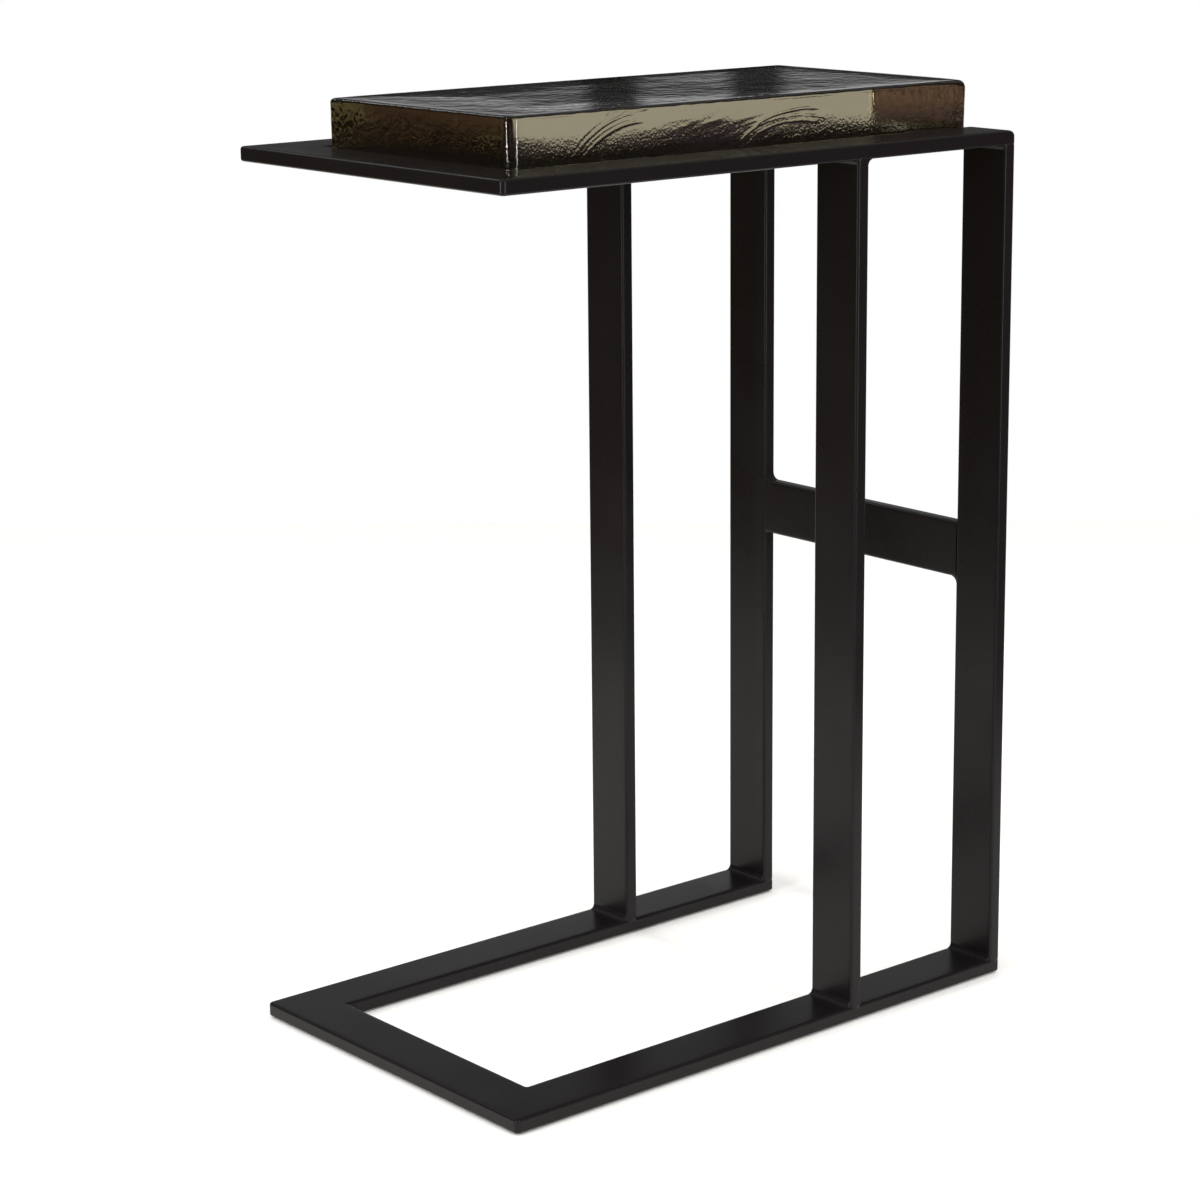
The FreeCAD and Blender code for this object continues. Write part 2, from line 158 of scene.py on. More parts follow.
class StageSettings(bpy.types.PropertyGroup):
    """Studio: floor, light and camera."""

    floor: shade("Floor", "Paper sweep under the table", "#edece9")
    sky_strength: setting("Overhead light", "Large diffused light above", 3.75, subtype="UNSIGNED")
    strip_radiance: setting("Strip lights", "Brightness of the two upright strip lights", 30.0,
                            subtype="UNSIGNED")
    box_radiance: setting("Soft box", "Brightness of the soft box high at the rear left", 1.7,
                          subtype="UNSIGNED")
    # The rear sheet glows by itself; its fade upwards is painted light, not light from lamps on the floor.
    panel_radiance: setting("Rear sheet", "Brightness of the lit sheet behind the table", 0.58,
                            subtype="UNSIGNED")
    panel_height: measure("Rear sheet height", "Top of the lit sheet above the floor", 1500)
    panel_fade: bpy.props.FloatVectorProperty(
        name="Rear sheet fade", description="Heights between which the light on the sheet dies away",
        default=(0.60, 0.89), size=2, unit="LENGTH")
    net_lift: measure("Net height", "Foot of the two black nets above the floor", 660)
    panel_gap: measure("Rear sheet distance", "From the table to the lit sheet", 2000)
    camera_place: bpy.props.FloatVectorProperty(
        name="Camera", description="Camera position", default=(-1.3852, -1.6168, 0.8123),
        subtype="TRANSLATION")
    azimuth: setting("Azimuth", "Camera round the table", math.radians(-40.832), subtype="ANGLE")
    elevation: setting("Elevation", "Camera above the horizon", math.radians(12.940), subtype="ANGLE")
    roll: setting("Roll", "Camera tilt", math.radians(-0.319), subtype="ANGLE")
    lens: setting("Lens", "Focal length in millimetres", 95.5, unit="CAMERA")
    shift: bpy.props.FloatVectorProperty(
        name="Shift", description="Camera shift for the framing", default=(-0.0417, -0.0417), size=2,
        subtype="XYZ")


def add_node(tree, kind, inputs=None, **settings):
    """Add one node with its own settings, and set or link its inputs.

    A node that is given as an input links by its first output in use.
    """
    made = tree.nodes.new(kind)
    for name, value in settings.items():
        setattr(made, name, value)
    for name, value in (inputs or {}).items():
        if isinstance(value, bpy.types.Node):
            value = next(socket for socket in value.outputs if socket.enabled)
        if isinstance(value, bpy.types.NodeSocket):
            tree.links.new(value, made.inputs[name])
        else:
            made.inputs[name].default_value = value
    return made


def made_once(fill):
    """Turn a function that fills a node tree into one that gives its material, made at the first call.

    The function gets what adds a node and the place on the object, and gives back the output node's inputs.
    """
    def material_of(*settings):
        name = fill.__name__
        material = bpy.data.materials.get(name)
        if material is None:
            material = bpy.data.materials.new(name)
            material.use_nodes = True
            material.node_tree.nodes.clear()
            add = partial(add_node, material.node_tree)
            place = add("ShaderNodeTexCoord").outputs["Object"]
            add("ShaderNodeOutputMaterial", fill(add, place, *settings))
        return material
    return material_of


@made_once
def satin_black_powder_coat(add, place, settings):
    # Polyester powder coat, sprayed dry on welded steel and baked: a deep, slightly warm black with soft wide
    # highlights, a faint orange peel, and a paler line on the rolled edges that is partly rubbed wear and
    # partly a painted highlight.
    # Orange peel is about 0.8 mm across; it is drawn at 2 mm so that it shows.
    peel = add("ShaderNodeTexNoise", {"Vector": place, "Scale": 1 / (2 * MM), "Detail": 2.0})
    # Film thickness drifts over about 70 mm and changes the gloss a little.
    drift = add("ShaderNodeTexNoise", {"Vector": place, "Scale": 1 / (70 * MM), "Detail": 3.0})
    gloss = add("ShaderNodeMapRange", {
        "Value": drift, "From Min": 0.3, "From Max": 0.7,
        "To Min": settings.coat_roughness - 0.05, "To Max": settings.coat_roughness + 0.06})
    # Pointiness finds the rolled edges, which are painted paler: partly rubbed wear, partly a painted
    # highlight.
    edge = add("ShaderNodeMapRange", {
        "Value": add("ShaderNodeNewGeometry").outputs["Pointiness"], "From Min": 0.52, "From Max": 0.60})
    broken = add("ShaderNodeMath", operation="MULTIPLY", inputs={0: edge, 1: drift})
    colour = add("ShaderNodeMix", data_type="RGBA", inputs={
        "Factor": broken, 6: (*settings.coat_dark, 1), 7: (*settings.coat_edge_wear_and_highlight, 1)})
    bump = add("ShaderNodeBump", {"Strength": 0.12, "Distance": 0.1 * MM, "Height": peel})
    coat = add("ShaderNodeBsdfPrincipled", {
        "Base Color": colour, "Roughness": gloss, "Specular IOR Level": 0.16, "Normal": bump})
    return {"Surface": coat}


@made_once
def cast_bronze_glass(add, place, settings):
    # Soda-lime glass tinted smoky bronze, cast in a mould and fire-polished: clear and glossy, olive to amber
    # where light crosses a hand's width of it and near black along its length, with a pebbled mould skin.
    # Grit of the mould, in grains of about 1.7 mm, as strong as the slab's grit attribute says at each point.
    grit = add("ShaderNodeTexNoise", {"Vector": place, "Scale": 1 / (1.7 * MM), "Detail": 1.0})
    amount = add("ShaderNodeAttribute", attribute_name="grit").outputs["Fac"]
    skin = add("ShaderNodeMath", operation="MULTIPLY", inputs={0: grit, 1: amount})
    bump = add("ShaderNodeBump", {"Distance": 0.17 * MM, "Height": skin})
    glass = add("ShaderNodeBsdfPrincipled", {
        "Base Color": (1, 1, 1, 1), "Roughness": 0.01, "IOR": settings.ior,
        "Transmission Weight": 1.0, "Normal": bump})
    tint = add("ShaderNodeVolumeAbsorption", {
        "Color": (*settings.absorption, 1), "Density": settings.density})
    return {"Surface": glass, "Volume": tint}


@made_once
def black_back_enamel(add, place):
    # Black enamel fired on the underside of the slab: dull from below, and seen through the glass it swallows
    # the light, which leaves the foot of the slab black.
    # Brush and screen marks of about 3 mm in the enamel.
    marks = add("ShaderNodeTexNoise", {"Vector": place, "Scale": 1 / (3 * MM), "Detail": 3.0})
    colour = add("ShaderNodeMix", data_type="RGBA", inputs={
        "Factor": marks, 6: linear("#241e1b"), 7: linear("#302924")})
    rough = add("ShaderNodeMapRange", {
        "Value": marks, "From Min": 0.35, "From Max": 0.7, "To Min": 0.55, "To Max": 0.75})
    enamel = add("ShaderNodeBsdfPrincipled", {
        "Base Color": colour, "Roughness": rough, "Specular IOR Level": 0.1})
    return {"Surface": enamel}


@made_once
def clear_silicone(add, place):
    # Moulded clear silicone: a soft, milky, slightly tacky surface that light enters.
    # Dust that a tacky face picks up, in specks of about 1 mm.
    dust = add("ShaderNodeTexNoise", {"Vector": place, "Scale": 1 / MM, "Detail": 3.0})
    rough = add("ShaderNodeMapRange", {
        "Value": dust, "From Min": 0.35, "From Max": 0.7, "To Min": 0.28, "To Max": 0.5})
    colour = add("ShaderNodeMix", data_type="RGBA", inputs={
        "Factor": dust, 6: linear("#dfe1de"), 7: linear("#cfd1cc")})
    silicone = add("ShaderNodeBsdfPrincipled", {
        "Base Color": colour, "Roughness": rough, "IOR": 1.41, "Transmission Weight": 0.5})
    return {"Surface": silicone}


@made_once
def pressed_black_felt(add, place):
    # Needled wool felt, pressed into sheet: matt charcoal with loose fibres that catch a little light.
    # Fibres are about 0.03 mm thick; tufts of them are drawn at 0.6 mm so that they show.
    tufts = add("ShaderNodeTexNoise", {"Vector": place, "Scale": 1 / (0.6 * MM), "Detail": 5.0})
    colour = add("ShaderNodeMix", data_type="RGBA", inputs={
        "Factor": tufts, 6: linear("#141414"), 7: linear("#353434")})
    bump = add("ShaderNodeBump", {"Strength": 0.8, "Distance": 0.2 * MM, "Height": tufts})
    felt = add("ShaderNodeBsdfPrincipled", {
        "Base Color": colour, "Roughness": 0.95, "Sheen Weight": 0.3, "Normal": bump})
    return {"Surface": felt}


@made_once
def white_paper_sweep(add, place, settings):
    # Matt white background paper: even and pale, with the faintest cloudiness of its pulp.
    pulp = add("ShaderNodeTexNoise", {"Vector": place, "Scale": 1 / (40 * MM), "Detail": 3.0})
    colour = add("ShaderNodeMix", data_type="RGBA", inputs={
        "Factor": pulp, 6: (*settings.floor, 1), 7: linear("#f0efec")})
    paper = add("ShaderNodeBsdfPrincipled", {
        "Base Color": colour, "Roughness": 0.9, "Specular IOR Level": 0.2})
    return {"Surface": paper}


@made_once
def black_flag_net(add, place):
    # Black net on a wire frame: dense in the middle and thinned out to both sides, so it darkens softly.
    across = add("ShaderNodeSeparateXYZ", {"Vector": place.node.outputs["Generated"]}).outputs["X"]
    away = add("ShaderNodeMath", operation="SUBTRACT", inputs={0: across, 1: 0.5})
    reach = add("ShaderNodeMath", operation="ABSOLUTE", inputs={0: away})
    cover = add("ShaderNodeMapRange", interpolation_type="SMOOTHSTEP", inputs={
        "Value": reach, "From Min": 0.5, "From Max": 0.16, "To Min": 0.0, "To Max": 0.9})
    net = add("ShaderNodeBsdfPrincipled", {
        "Base Color": linear("#1d1d1d"), "Roughness": 0.95, "Specular IOR Level": 0.1, "Alpha": cover})
    return {"Surface": net}


@made_once
def glowing_backdrop(add, place, settings):
    # Glowing sheet that stands for a white sheet lit from below by lamps on the floor: its glow is painted
    # light, bright at the foot and dying away upwards.
    height = add("ShaderNodeSeparateXYZ", {"Vector": place}).outputs["Z"]
    fade = add("ShaderNodeMapRange", interpolation_type="SMOOTHSTEP", inputs={
        "Value": height, "From Min": settings.panel_fade[0], "From Max": settings.panel_fade[1],
        "To Min": settings.panel_radiance, "To Max": 0.04})
    glow = add("ShaderNodeEmission", {"Strength": fade})
    return {"Surface": glow}


def add_piece(name, points, faces, material, body=None, nodes=(), slot=None, sharp=35):
    """Mesh object from points in millimetres, shaded smooth but for edges sharper than an angle."""
    mesh = bpy.data.meshes.new(name)
    mesh.from_pydata([[value * MM for value in point] for point in points], [], faces)
    if mesh.validate():
        raise RuntimeError(f"{name} has broken faces")
    shell = bmesh.new()
    shell.from_mesh(mesh)
    bmesh.ops.recalc_face_normals(shell, faces=shell.faces)
    shell.to_mesh(mesh)
    shell.free()
    mesh.shade_smooth()
    mesh.set_sharp_from_angle(angle=math.radians(sharp))
    piece = bpy.data.objects.new(name, mesh)
    bpy.context.scene.collection.objects.link(piece)
    mesh.materials.append(material)
    if body is None:
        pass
    else:
        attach(piece, body)
        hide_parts(*nodes)
    return piece


def add_coated(node, points, faces, settings, sharp=35):
    """Coated piece of the frame that stands for a node."""
    return add_piece(f"coated_{node}", points, faces, satin_black_powder_coat(settings), "frame", (node,),
                     "black_coat", sharp)


def tube_faces(rings, count, closed=True):
    """Faces between rings of count points each, with both ends closed if asked."""
    faces = []
    for ring in range(rings - 1):
        for spot in range(count):
            following = (spot + 1) % count
            faces.append((ring * count + spot, ring * count + following,
                          (ring + 1) * count + following, (ring + 1) * count + spot))
    if closed:
        faces.append(tuple(range(count)))
        faces.append(tuple(range((rings - 1) * count, rings * count)))
    return faces


def rolled_section(width, thick, radius, steps=5):
    """Section of the flat bar: (across from the outer side, up) round the loop."""
    corners = ((radius, radius, 180), (width - radius, radius, 270), (width - radius, thick - radius, 0),
               (radius, thick - radius, 90))
    loop = []
    for number, (across, up, start) in enumerate(corners):
        for step in range(steps + 1):
            turn = math.radians(start + 90 * step / steps)
            loop.append((across + radius * math.cos(turn), up + radius * math.sin(turn)))
        along_wide = number in (0, 2)
        if along_wide:
            spread = (0.08, 0.36, 0.64, 0.92) if number == 0 else (0.92, 0.64, 0.36, 0.08)
            loop.extend((radius + (width - 2 * radius) * share, up + (radius if number == 2 else -radius))
                        for share in spread)
    return loop


def bar_stations(length, near=(0, 0.5, 1.0, 1.6, 2.3, 3.0, 4.5, 8.0, 15.0), step=24):
    """Places along a bar, closer together at both ends, as shares of its length."""
    middle = np.linspace(near[-1], length - near[-1], max(2, round((length - 2 * near[-1]) / step)) + 1)
    places = [*near[:-1], *middle, *[length - place for place in reversed(near[:-1])]]
    return [place / length for place in places]


def flat_bar(node, settings, length, to_frame, mitres=(False, False), ease=False, crown=0.0):
    """One coated bar. to_frame turns (along, across from the outer side, up) into a place in the frame.

    ease rounds the far end in plan, and crown is the radius ground on that end's upper edge.
    """
    width = settings.bar_width / MM
    radius = settings.edge_radius / MM
    round_off = settings.corner_radius / MM
    thick = BASE_HIGH[2] - BASE_LOW[2]
    section = rolled_section(width, thick, radius)
    points = []
    shares = bar_stations(length)
    easing = settings.end_ease / MM if ease else 0.0
    for share in shares:
        from_end = length * (1 - share)
        shrink, drop = (size - math.sqrt(size ** 2 - max(0.0, size - from_end) ** 2)
                        for size in (easing, crown))
        for across, up in section:
            start = across if mitres[0] else 0.0
            end = length - (across if mitres[1] else 0.0)
            along = start + (end - start) * share
            inset = min(across, radius)
            side = across
            for mitred, gap in zip(mitres, (along, length - along)):
                reach = math.hypot(round_off - gap, round_off - side)
                if mitred and gap < round_off and side < round_off and reach > round_off - inset:
                    pull = (round_off - inset) / reach
                    new_gap = round_off - (round_off - gap) * pull
                    side = round_off - (round_off - side) * pull
                    along = new_gap if gap == along else length - new_gap
            side = width / 2 + (side - width / 2) * (1 - 2 * shrink / width)
            rise = up * (1 - drop / thick)
            points.append(to_frame(along, side, rise))
    faces = tube_faces(len(shares), len(section))
    piece = add_coated(node, points, faces, settings)
    # The wide flat faces set the normals, so that only the rolled edges look round.
    piece.modifiers.new("even_faces", "WEIGHTED_NORMAL").keep_sharp = True


def fillet_bead(settings, corner, run, first, second, length, leg, hollow=1.15, ends=0.75, seed=0.0):
    """Points and faces of one weld: a hollow fillet along run in the corner between two faces.

    Its root lies a little inside the corner, and its toes sink into the faces. Each ripple bows forward and
    stands up in the middle of the bead.
    """
    root, toe_sink, step, uneven_run = 0.15, 0.06, 0.5, 6
    bow_share, ridge_share = 0.21, 0.28
    corner, run, first, second = (np.array(part, float) for part in (corner, run, first, second))
    pitch = settings.ripple_pitch / MM
    stations = np.linspace(0, length, max(8, round(length / step)) + 1)
    bend = np.linspace(0, 1, 9)
    start_turn = math.atan2(-hollow, 1 - hollow)
    end_turn = math.atan2(1 - hollow, -hollow)
    reach = math.hypot(hollow, hollow - 1)
    points = []
    for place in stations:
        gap = min(place, length - place, leg * 0.5)
        taper = ends + (1 - ends) * math.sqrt(1 - (1 - gap / (leg * 0.5)) ** 2)
        points.append(corner + run * place - (first + second) * root)
        for share in bend:
            turn = start_turn + (end_turn - start_turn) * share
            bulge = 1 - (2 * share - 1) ** 2
            wave = math.sin(2 * math.pi * (place / pitch + bow_share * bulge) + seed)
            uneven = noise.noise(Vector((place / uneven_run, share, seed)))
            size = leg * taper * (1 + settings.ripple_share * (wave * 0.5 + uneven))
            lift = bulge * settings.ripple_share * leg * ridge_share * wave
            lift = lift - toe_sink * abs(2 * share - 1) ** 6
            a = size * (hollow + reach * math.cos(turn)) + lift
            b = size * (hollow + reach * math.sin(turn)) + lift
            points.append(corner + run * place + first * a + second * b)
    return points, tube_faces(len(stations), len(bend) + 1)


def joined(parts):
    """Points and faces of several shells as one mesh."""
    points, faces = [], []
    for more_points, more_faces in parts:
        shift = len(points)
        points.extend(more_points)
        faces.extend(tuple(corner + shift for corner in face) for face in more_faces)
    return points, faces


class SIDETABLE_OT_u_frames(bpy.types.Operator):
    """Build the mitred bars of the base and of the top frame"""

    bl_idname = "sidetable.u_frames"
    bl_label = "U frames"

    def execute(self, context):
        settings = context.scene.side_table_frame
        for level in ("base", "top"):
            floor = node_box(f"{level}_front_bar")[0][2]
            crown = settings.end_crown / MM if level == "top" else 0.0
            flat_bar(f"{level}_front_bar", settings, 2 * OUTSIDE,
                     lambda along, across, up, floor=floor: (FRONT + across, along - OUTSIDE, floor + up),
                     mitres=(True, True))
            for side, way in SIDE_WAYS.items():
                flat_bar(f"{level}_{side}_bar", settings, REAR - FRONT,
                         lambda along, across, up, floor=floor, way=way:
                         (FRONT + along, way * (OUTSIDE - across), floor + up),
                         mitres=(True, False), ease=True, crown=crown)
        return {"FINISHED"}


class SIDETABLE_OT_posts(bpy.types.Operator):
    """Build the four posts and the crossbar"""

    bl_idname = "sidetable.posts"
    bl_label = "Posts and crossbar"

    def execute(self, context):
        settings = context.scene.side_table_frame
        for side in SIDE_WAYS:
            for row in ("middle", "rear"):
                low, high = node_box(f"{side}_{row}_post")
                flat_bar(f"{side}_{row}_post", settings, high[2] - low[2],
                         lambda along, across, up, low=low: (low[0] + up, low[1] + across, low[2] + along))
        low, high = node_box("rear_crossbar")
        flat_bar("rear_crossbar", settings, high[1] - low[1],
                 lambda along, across, up, low=low: (low[0] + up, low[1] + along, low[2] + across))
        return {"FINISHED"}


class SIDETABLE_OT_post_welds(bpy.types.Operator):
    """Build the fillets at the feet and heads of the posts"""

    bl_idname = "sidetable.post_welds"
    bl_label = "Post welds"

    def execute(self, context):
        settings = context.scene.side_table_frame
        feet, heads = [], []
        edge = settings.edge_radius / MM * 0.5
        rear_run_share = 0.6
        for side, way in SIDE_WAYS.items():
            for row in ("middle", "rear"):
                low, high = node_box(f"{side}_{row}_post")
                seed = len(feet) * 1.7
                width = high[1] - low[1] - 2 * edge
                feet.append(fillet_bead(settings, (low[0], low[1] + edge, low[2]), (0, 1, 0), (-1, 0, 0),
                                        (0, 0, 1), width, settings.foot_leg / MM, seed=seed))
                run = width if row == "middle" else width * rear_run_share
                start = low[1] + edge if way < 0 else high[1] - edge - run
                heads.append(fillet_bead(settings, (low[0], start, high[2]), (0, 1, 0), (-1, 0, 0),
                                         (0, 0, -1), run, settings.head_leg / MM, seed=seed + 1))
                if row == "middle":
                    back = (high[0], low[1] + edge, high[2])
                    heads.append(fillet_bead(settings, back, (0, 1, 0), (1, 0, 0), (0, 0, -1), width,
                                             settings.head_back_leg / MM, seed=seed + 2))
        add_coated("post_foot_welds", *joined(feet), settings, WELD_SHARP)
        add_coated("post_head_welds", *joined(heads), settings, WELD_SHARP)
        return {"FINISHED"}


def flush_patch(x_span, y, way, z_edge, upward, radius):
    """Ground weld on a narrow side: fills the groove that two rolled edges leave, level with both faces."""
    overlap, sunk, tail = 0.02, 0.1, 0.4
    end_gap, end_drop, depth = 0.35, radius * 0.55, radius + 0.3
    rows = [(radius + overlap, -sunk), (radius, 0.0), (radius * 0.5, 0.0), (0.0, 0.0), (-overlap, 0.0),
            (-overlap - tail, -sunk)]
    ends = [(x_span[0] + end_gap, end_drop), (x_span[0] + radius, 0.0), (x_span[1] - radius, 0.0),
            (x_span[1] - end_gap, end_drop)]
    points, faces = [], []
    for up, out in rows:
        for along, drop in ends:
            points.append((along, y + way * (out - drop), z_edge + upward * up))
    for up, _ in rows:
        for along, _ in ends:
            points.append((along, y - way * depth, z_edge + upward * up))
    half = len(rows) * len(ends)
    index = np.arange(half).reshape(len(rows), len(ends))
    quads = np.stack([index[:-1, :-1], index[:-1, 1:], index[1:, 1:], index[1:, :-1]], axis=-1)
    for quad in quads.reshape(-1, 4).tolist():
        faces += [quad, [half + corner for corner in reversed(quad)]]
    border = np.concatenate([index[0], index[1:, -1], index[-1, -2::-1], index[-2:0:-1, 0]]).tolist()
    for corner, following in zip(border, border[1:] + border[:1]):
        faces.append((corner, half + corner, half + following, following))
    return points, faces


class SIDETABLE_OT_seams(bpy.types.Operator):
    """Build the welds that are ground flush on the narrow sides of the posts"""

    bl_idname = "sidetable.seams"
    bl_label = "Flush seams"

    def execute(self, context):
        settings = context.scene.side_table_frame
        radius = settings.edge_radius / MM
        patches = []
        for side in SIDE_WAYS:
            for row in ("middle", "rear"):
                low, high = node_box(f"{side}_{row}_post")
                for height, upward in ((low[2], -1), (high[2], 1)):
                    for y, way in ((low[1], -1), (high[1], 1)):
                        patches.append(flush_patch((low[0], high[0]), y, way, height, upward, radius))
        add_piece("coated_flush_seams", *joined(patches), satin_black_powder_coat(settings), "frame",
                  ("flush_seam_welds",), "black_coat", 50)
        return {"FINISHED"}


class SIDETABLE_OT_corner_welds(bpy.types.Operator):
    """Build the fillets of the crossbar and of the mitred inner corners"""

    bl_idname = "sidetable.corner_welds"
    bl_label = "Crossbar and mitre welds"

    def execute(self, context):
        settings = context.scene.side_table_frame
        edge = settings.edge_radius / MM * 0.5
        low, high = node_box("rear_crossbar")
        run = high[0] - low[0] - 2 * edge
        beads = []
        for way in SIDE_WAYS.values():
            y = high[1] if way > 0 else low[1]
            for z, up in ((high[2], 1), (low[2], -1)):
                full = way == up
                leg = (settings.crossbar_leg if full else settings.tack_leg) / MM
                beads.append(fillet_bead(settings, (low[0] + edge, y, z), (1, 0, 0), (0, -way, 0), (0, 0, up),
                                         run, leg, ends=0.9, seed=z + way))
        add_coated("crossbar_welds", *joined(beads), settings, WELD_SHARP)
        for level in ("base", "top"):
            low, high = node_box(f"{level}_front_bar")
            beads = []
            for way in SIDE_WAYS.values():
                y = way * (OUTSIDE - settings.bar_width / MM)
                beads.append(fillet_bead(settings, (high[0], y, low[2] + edge), (0, 0, 1), (1, 0, 0),
                                         (0, -way, 0), high[2] - low[2] - 2 * edge, settings.mitre_leg / MM,
                                         ends=0.9, seed=way))
            add_coated(f"{level}_mitre_welds", *joined(beads), settings, WELD_SHARP)
        return {"FINISHED"}


class SIDETABLE_OT_support_plate(bpy.types.Operator):
    """Coat the sheet under the glass and build its stitch welds"""

    bl_idname = "sidetable.support_plate"
    bl_label = "Support plate"

    def execute(self, context):
        settings = context.scene.side_table_frame
        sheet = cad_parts["glass_support_plate"]
        sheet.data.materials.clear()
        sheet.data.materials.append(satin_black_powder_coat(settings))
        stitch, leg = settings.stitch_length / MM, settings.stitch_leg / MM
        length = PLATE_HIGH[0] - PLATE_LOW[0]
        stitch_shares = (0.15, 0.5, 0.85)
        beads = []
        for way in SIDE_WAYS.values():
            y = PLATE_HIGH[1] if way > 0 else PLATE_LOW[1]
            for share in stitch_shares:
                start = PLATE_LOW[0] + length * share - stitch / 2
                beads.append(fillet_bead(settings, (start, y, PLATE_LOW[2]), (1, 0, 0), (0, -way, 0),
                                         (0, 0, -1), stitch, leg, ends=0.4, seed=share))
        beads.append(fillet_bead(settings, (PLATE_LOW[0], -stitch / 2, PLATE_LOW[2]), (0, 1, 0), (1, 0, 0),
                                 (0, 0, -1), stitch, leg, ends=0.4))
        add_coated("plate_welds", *joined(beads), settings, WELD_SHARP)
        return {"FINISHED"}


def lines(start, end, step, fine_step=0.7, fine_reach=7):
    """Grid lines from start to end, finer near both ends."""
    near = np.arange(0, fine_reach, fine_step)
    count = max(1, round((end - start - 2 * fine_reach) / step))
    middle = np.linspace(start + fine_reach, end - fine_reach, count + 1)
    return np.array([*(start + near), *middle, *(end - near[::-1])])


def wander(x, y, z, seed):
    """Smooth noise from -1 to 1 at each point."""
    return np.array([noise.noise(Vector((a, b, c + seed))) for a, b, c in zip(x, y, z)])


def smooth(value, low, high):
    """Smooth step from 0 at low to 1 at high."""
    share = np.clip((value - low) / (high - low), 0, 1)
    return share * share * (3 - 2 * share)


def slab_mesh(settings):
    """Points and faces of the cast slab, before its surface is worked."""
    a, b = size = (SLAB_HIGH[:2] - SLAB_LOW[:2]) / 2
    middle = (SLAB_HIGH[:2] + SLAB_LOW[:2]) / 2
    height = SLAB_HIGH[2] - SLAB_LOW[2]
    corner = settings.corner_radius / MM
    rim, slump = settings.rim_radius / MM, settings.rim_slump / MM
    foot = settings.foot_radius / MM
    draft = settings.draft / MM
    xs, ys = lines(-a, a, step=1.15), lines(-b, b, step=1.7)
    loop = [(x, -b) for x in xs[:-1]] + [(a, y) for y in ys[:-1]]
    loop += [(x, b) for x in xs[:0:-1]] + [(-a, y) for y in ys[:0:-1]]
    loop = np.array(loop)

    def plan(points, inset, radius):
        """Rectangle points pulled in by inset, with the corners rounded."""
        half = size - inset[:, None]
        scaled = points * half / size
        flat = half - radius[:, None]
        core = np.clip(scaled, -flat, flat)
        away = scaled - core
        far = np.linalg.norm(away, axis=-1, keepdims=True)
        both = (np.abs(away) > 1e-9).all(axis=-1, keepdims=True)
        return np.where(both, core + away / np.maximum(far, 1e-9) * radius[:, None], scaled)

    # The rim is rounder towards the rear right corner, where the glass slumped, and wavers all round.
    rims = rim + slump * smooth(loop[:, 0] + middle[0], -170, 200) * smooth(-loop[:, 1], -20, b)
    waver, waver_length = 0.5, 9
    rims = rims + waver * wander(*(loop / waver_length).T, np.zeros(len(loop)), 23.0)
    # Three sides stand nearly upright. The right-hand one leans in, less in its middle, more at the rear.
    along = loop[:, 0] + middle[0]
    lean = smooth(loop[:, 0] + a, 0, 40) * smooth(a - loop[:, 0], 0, 22) * (loop[:, 1] == -b)
    upright = np.exp(-((along + 20) / 48) ** 2)
    drafts = draft * (0.3 + lean * (0.7 - 1.35 * upright + 0.7 * smooth(along, 110, 200)))
    # The front left and rear right corners are rounded over at the top.
    corner_spread = 14
    for x, y, extra in ((-a, b, 2.5), (a, -b, 4.0)):
        rims = rims + extra * np.exp(-np.hypot(loop[:, 0] - x, loop[:, 1] - y) / corner_spread)
    rows = [(foot * (1 - math.sin(turn)), foot * (1 - math.cos(turn)))
            for turn in np.radians((0, 30, 60, 90))]
    row_step, rim_room = 0.8, 5.0
    rows += [(0.0, up) for up in np.arange(foot + row_step, height - rim - slump - rim_room, row_step)]
    # The front right corner is the roundest and the rear left one the sharpest.
    share_front = np.where(loop[:, 1] < 0, 1.0, 0.7)
    share_rear = np.where(loop[:, 1] < 0, 0.7, 0.4)
    corners = corner * np.where(loop[:, 0] < 0, share_front, share_rear)
    rings = []
    for inset, up in rows:
        pull = inset + drafts * (1 - up / height)
        rings.append(np.column_stack([plan(loop, pull, corners), np.full(len(loop), up)]))
    low_rim = rows[-1][1]
    for share in np.linspace(0, 1, 8)[1:]:
        up = low_rim + (height - rims - low_rim) * share
        pull = drafts * (1 - up / height)
        rings.append(np.column_stack([plan(loop, pull, corners), up]))
    for turn in np.radians(np.linspace(0, 90, 9)[1:]):
        up = height - rims + rims * math.sin(turn)
        pull = rims * (1 - math.cos(turn)) + drafts * (1 - up / height)
        radius = np.maximum(corners - rims * (1 - math.cos(turn)), 1.0)
        rings.append(np.column_stack([plan(loop, pull, radius), up]))
    count = len(loop)
    faces = tube_faces(len(rings), count, closed=False)
    faces.append(tuple(range(count)))
    # The top is a grid whose border is the last ring. These are the places round that ring of its four sides.
    wide, deep = len(xs) - 1, len(ys) - 1
    near, right = np.arange(wide + 1), wide + np.arange(deep + 1)
    far, left = 2 * wide + deep - near, (count - np.arange(deep + 1)) % count
    ring, first = rings[-1], (len(rings) - 1) * count
    u, v = (xs[1:-1, None] + a) / (2 * a), (ys[None, 1:-1] + b) / (2 * b)
    grid_x = ring[near[1:-1], 0][:, None] * (1 - v) + ring[far[1:-1], 0][:, None] * v
    grid_y = ring[left[1:-1], 1] * (1 - u) + ring[right[1:-1], 1] * u
    inner = np.column_stack([grid_x.ravel(), grid_y.ravel(), np.full(grid_x.size, height)])
    index = np.zeros((wide + 1, deep + 1), int)
    index[:, 0], index[:, -1], index[0], index[-1] = first + near, first + far, first + left, first + right
    index[1:-1, 1:-1] = first + count + np.arange(len(inner)).reshape(grid_x.shape)
    quads = np.stack([index[:-1, :-1], index[1:, :-1], index[1:, 1:], index[:-1, 1:]], axis=-1)
    faces.extend(quads.reshape(-1, 4).tolist())
    return np.vstack([*rings, inner]) + (*middle, SLAB_LOW[2]), faces


# Spots where the top sank as it cooled: centre, spread and depth.
SUNK_SPOTS = (((0, 10), 24, 0.2), ((98, -14), 24, 0.2))

